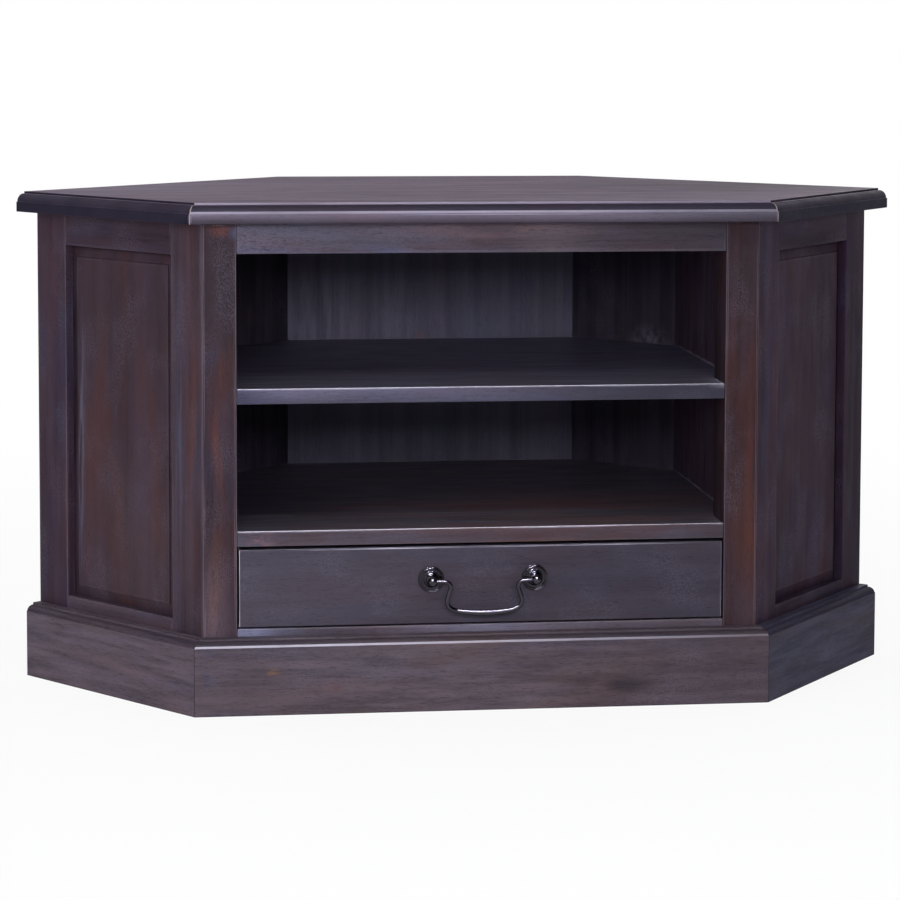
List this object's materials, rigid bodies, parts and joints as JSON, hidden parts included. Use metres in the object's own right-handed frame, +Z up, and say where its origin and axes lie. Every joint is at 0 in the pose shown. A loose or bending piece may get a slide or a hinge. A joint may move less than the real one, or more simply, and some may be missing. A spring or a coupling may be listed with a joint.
{
  "type": "corner tv cabinet",
  "caption": "Six-sided corner television cabinet with open shelf bays, a full-width drawer with a drop handle, panelled wings and a moulded plinth.",
  "frame": {"origin": "on the floor, under the middle of the top board's outline", "axes": "+X to the right of someone facing the front, +Y back into the room corner, +Z up; the drawer opens towards -Y"},
  "size_m": [0.9, 0.495, 0.494],
  "materials": {
    "top_wood": "dark stained hardwood, satin lacquer, greyish purple brown",
    "body_wood": "dark stained hardwood, satin lacquer, warm purple brown",
    "panel_wood": "dark stained hardwood, satin lacquer",
    "plinth_wood": "dark stained hardwood, satin lacquer, paler where worn",
    "shelf_wood": "dark stained hardwood, satin lacquer",
    "drawer_wood": "dark stained hardwood, satin lacquer, slate purple",
    "inner_wood": "thinly stained softer wood, matt",
    "back_plywood": "stained plywood, matt",
    "drawer_plywood": "plywood, matt",
    "handle_metal": "blackened cast metal, semi-gloss",
    "screw_steel": "zinc plated steel"
  },
  "bodies": {
    "cabinet": {"top_board": "top_wood", "front_post_left": "body_wood", "front_post_right": "body_wood", "front_top_rail": "body_wood", "front_bottom_rail": "body_wood", "wing_front_stile_left": "body_wood", "wing_front_stile_right": "body_wood", "wing_rear_stile_left": "body_wood", "wing_rear_stile_right": "body_wood", "wing_top_rail_left": "body_wood", "wing_top_rail_right": "body_wood", "wing_bottom_rail_left": "body_wood", "wing_bottom_rail_right": "body_wood", "wing_panel_left": "panel_wood", "wing_panel_right": "panel_wood", "plinth_front": "plinth_wood", "plinth_left": "plinth_wood", "plinth_right": "plinth_wood", "middle_shelf": "shelf_wood", "lower_shelf": "shelf_wood", "bottom_board": "inner_wood", "partition_left": "shelf_wood", "partition_right": "shelf_wood", "drawer_runner_left": "inner_wood", "drawer_runner_right": "inner_wood", "drawer_stop": "inner_wood", "back_panel_centre": "back_plywood", "back_panel_left": "back_plywood", "back_panel_right": "back_plywood", "back_post_left": "body_wood", "back_post_right": "body_wood", "rear_corner_post_left": "inner_wood", "rear_corner_post_right": "inner_wood", "back_top_rail_centre": "body_wood", "back_top_rail_left": "body_wood", "back_top_rail_right": "body_wood", "back_bottom_rail_centre": "body_wood", "back_bottom_rail_left": "body_wood", "back_bottom_rail_right": "body_wood", "top_cleat_left": "inner_wood", "top_cleat_right": "inner_wood", "top_screw_front_left": "screw_steel", "top_screw_front_right": "screw_steel", "top_screw_rear_left": "screw_steel", "top_screw_rear_right": "screw_steel"},
    "drawer": {"drawer_front": "drawer_wood", "drawer_side_left": "inner_wood", "drawer_side_right": "inner_wood", "drawer_back": "inner_wood", "drawer_bottom": "drawer_plywood", "handle_rosette_left": "handle_metal", "handle_rosette_right": "handle_metal", "handle_post_left": "handle_metal", "handle_post_right": "handle_metal", "handle_nut_left": "screw_steel", "handle_nut_right": "screw_steel"},
    "bail": {"handle_bail": "handle_metal"}
  },
  "joints": [
    {"name": "drawer_slide", "type": "slide", "parent": "cabinet", "child": "drawer", "axis": [0, -1, 0], "range_m": [0, 0.24]},
    {"name": "handle_swing", "type": "hinge", "parent": "drawer", "child": "bail", "pos_m": [0, -0.2368, 0.12605], "axis": [-1, 0, 0], "range_deg": [0, 95]}
  ]
}
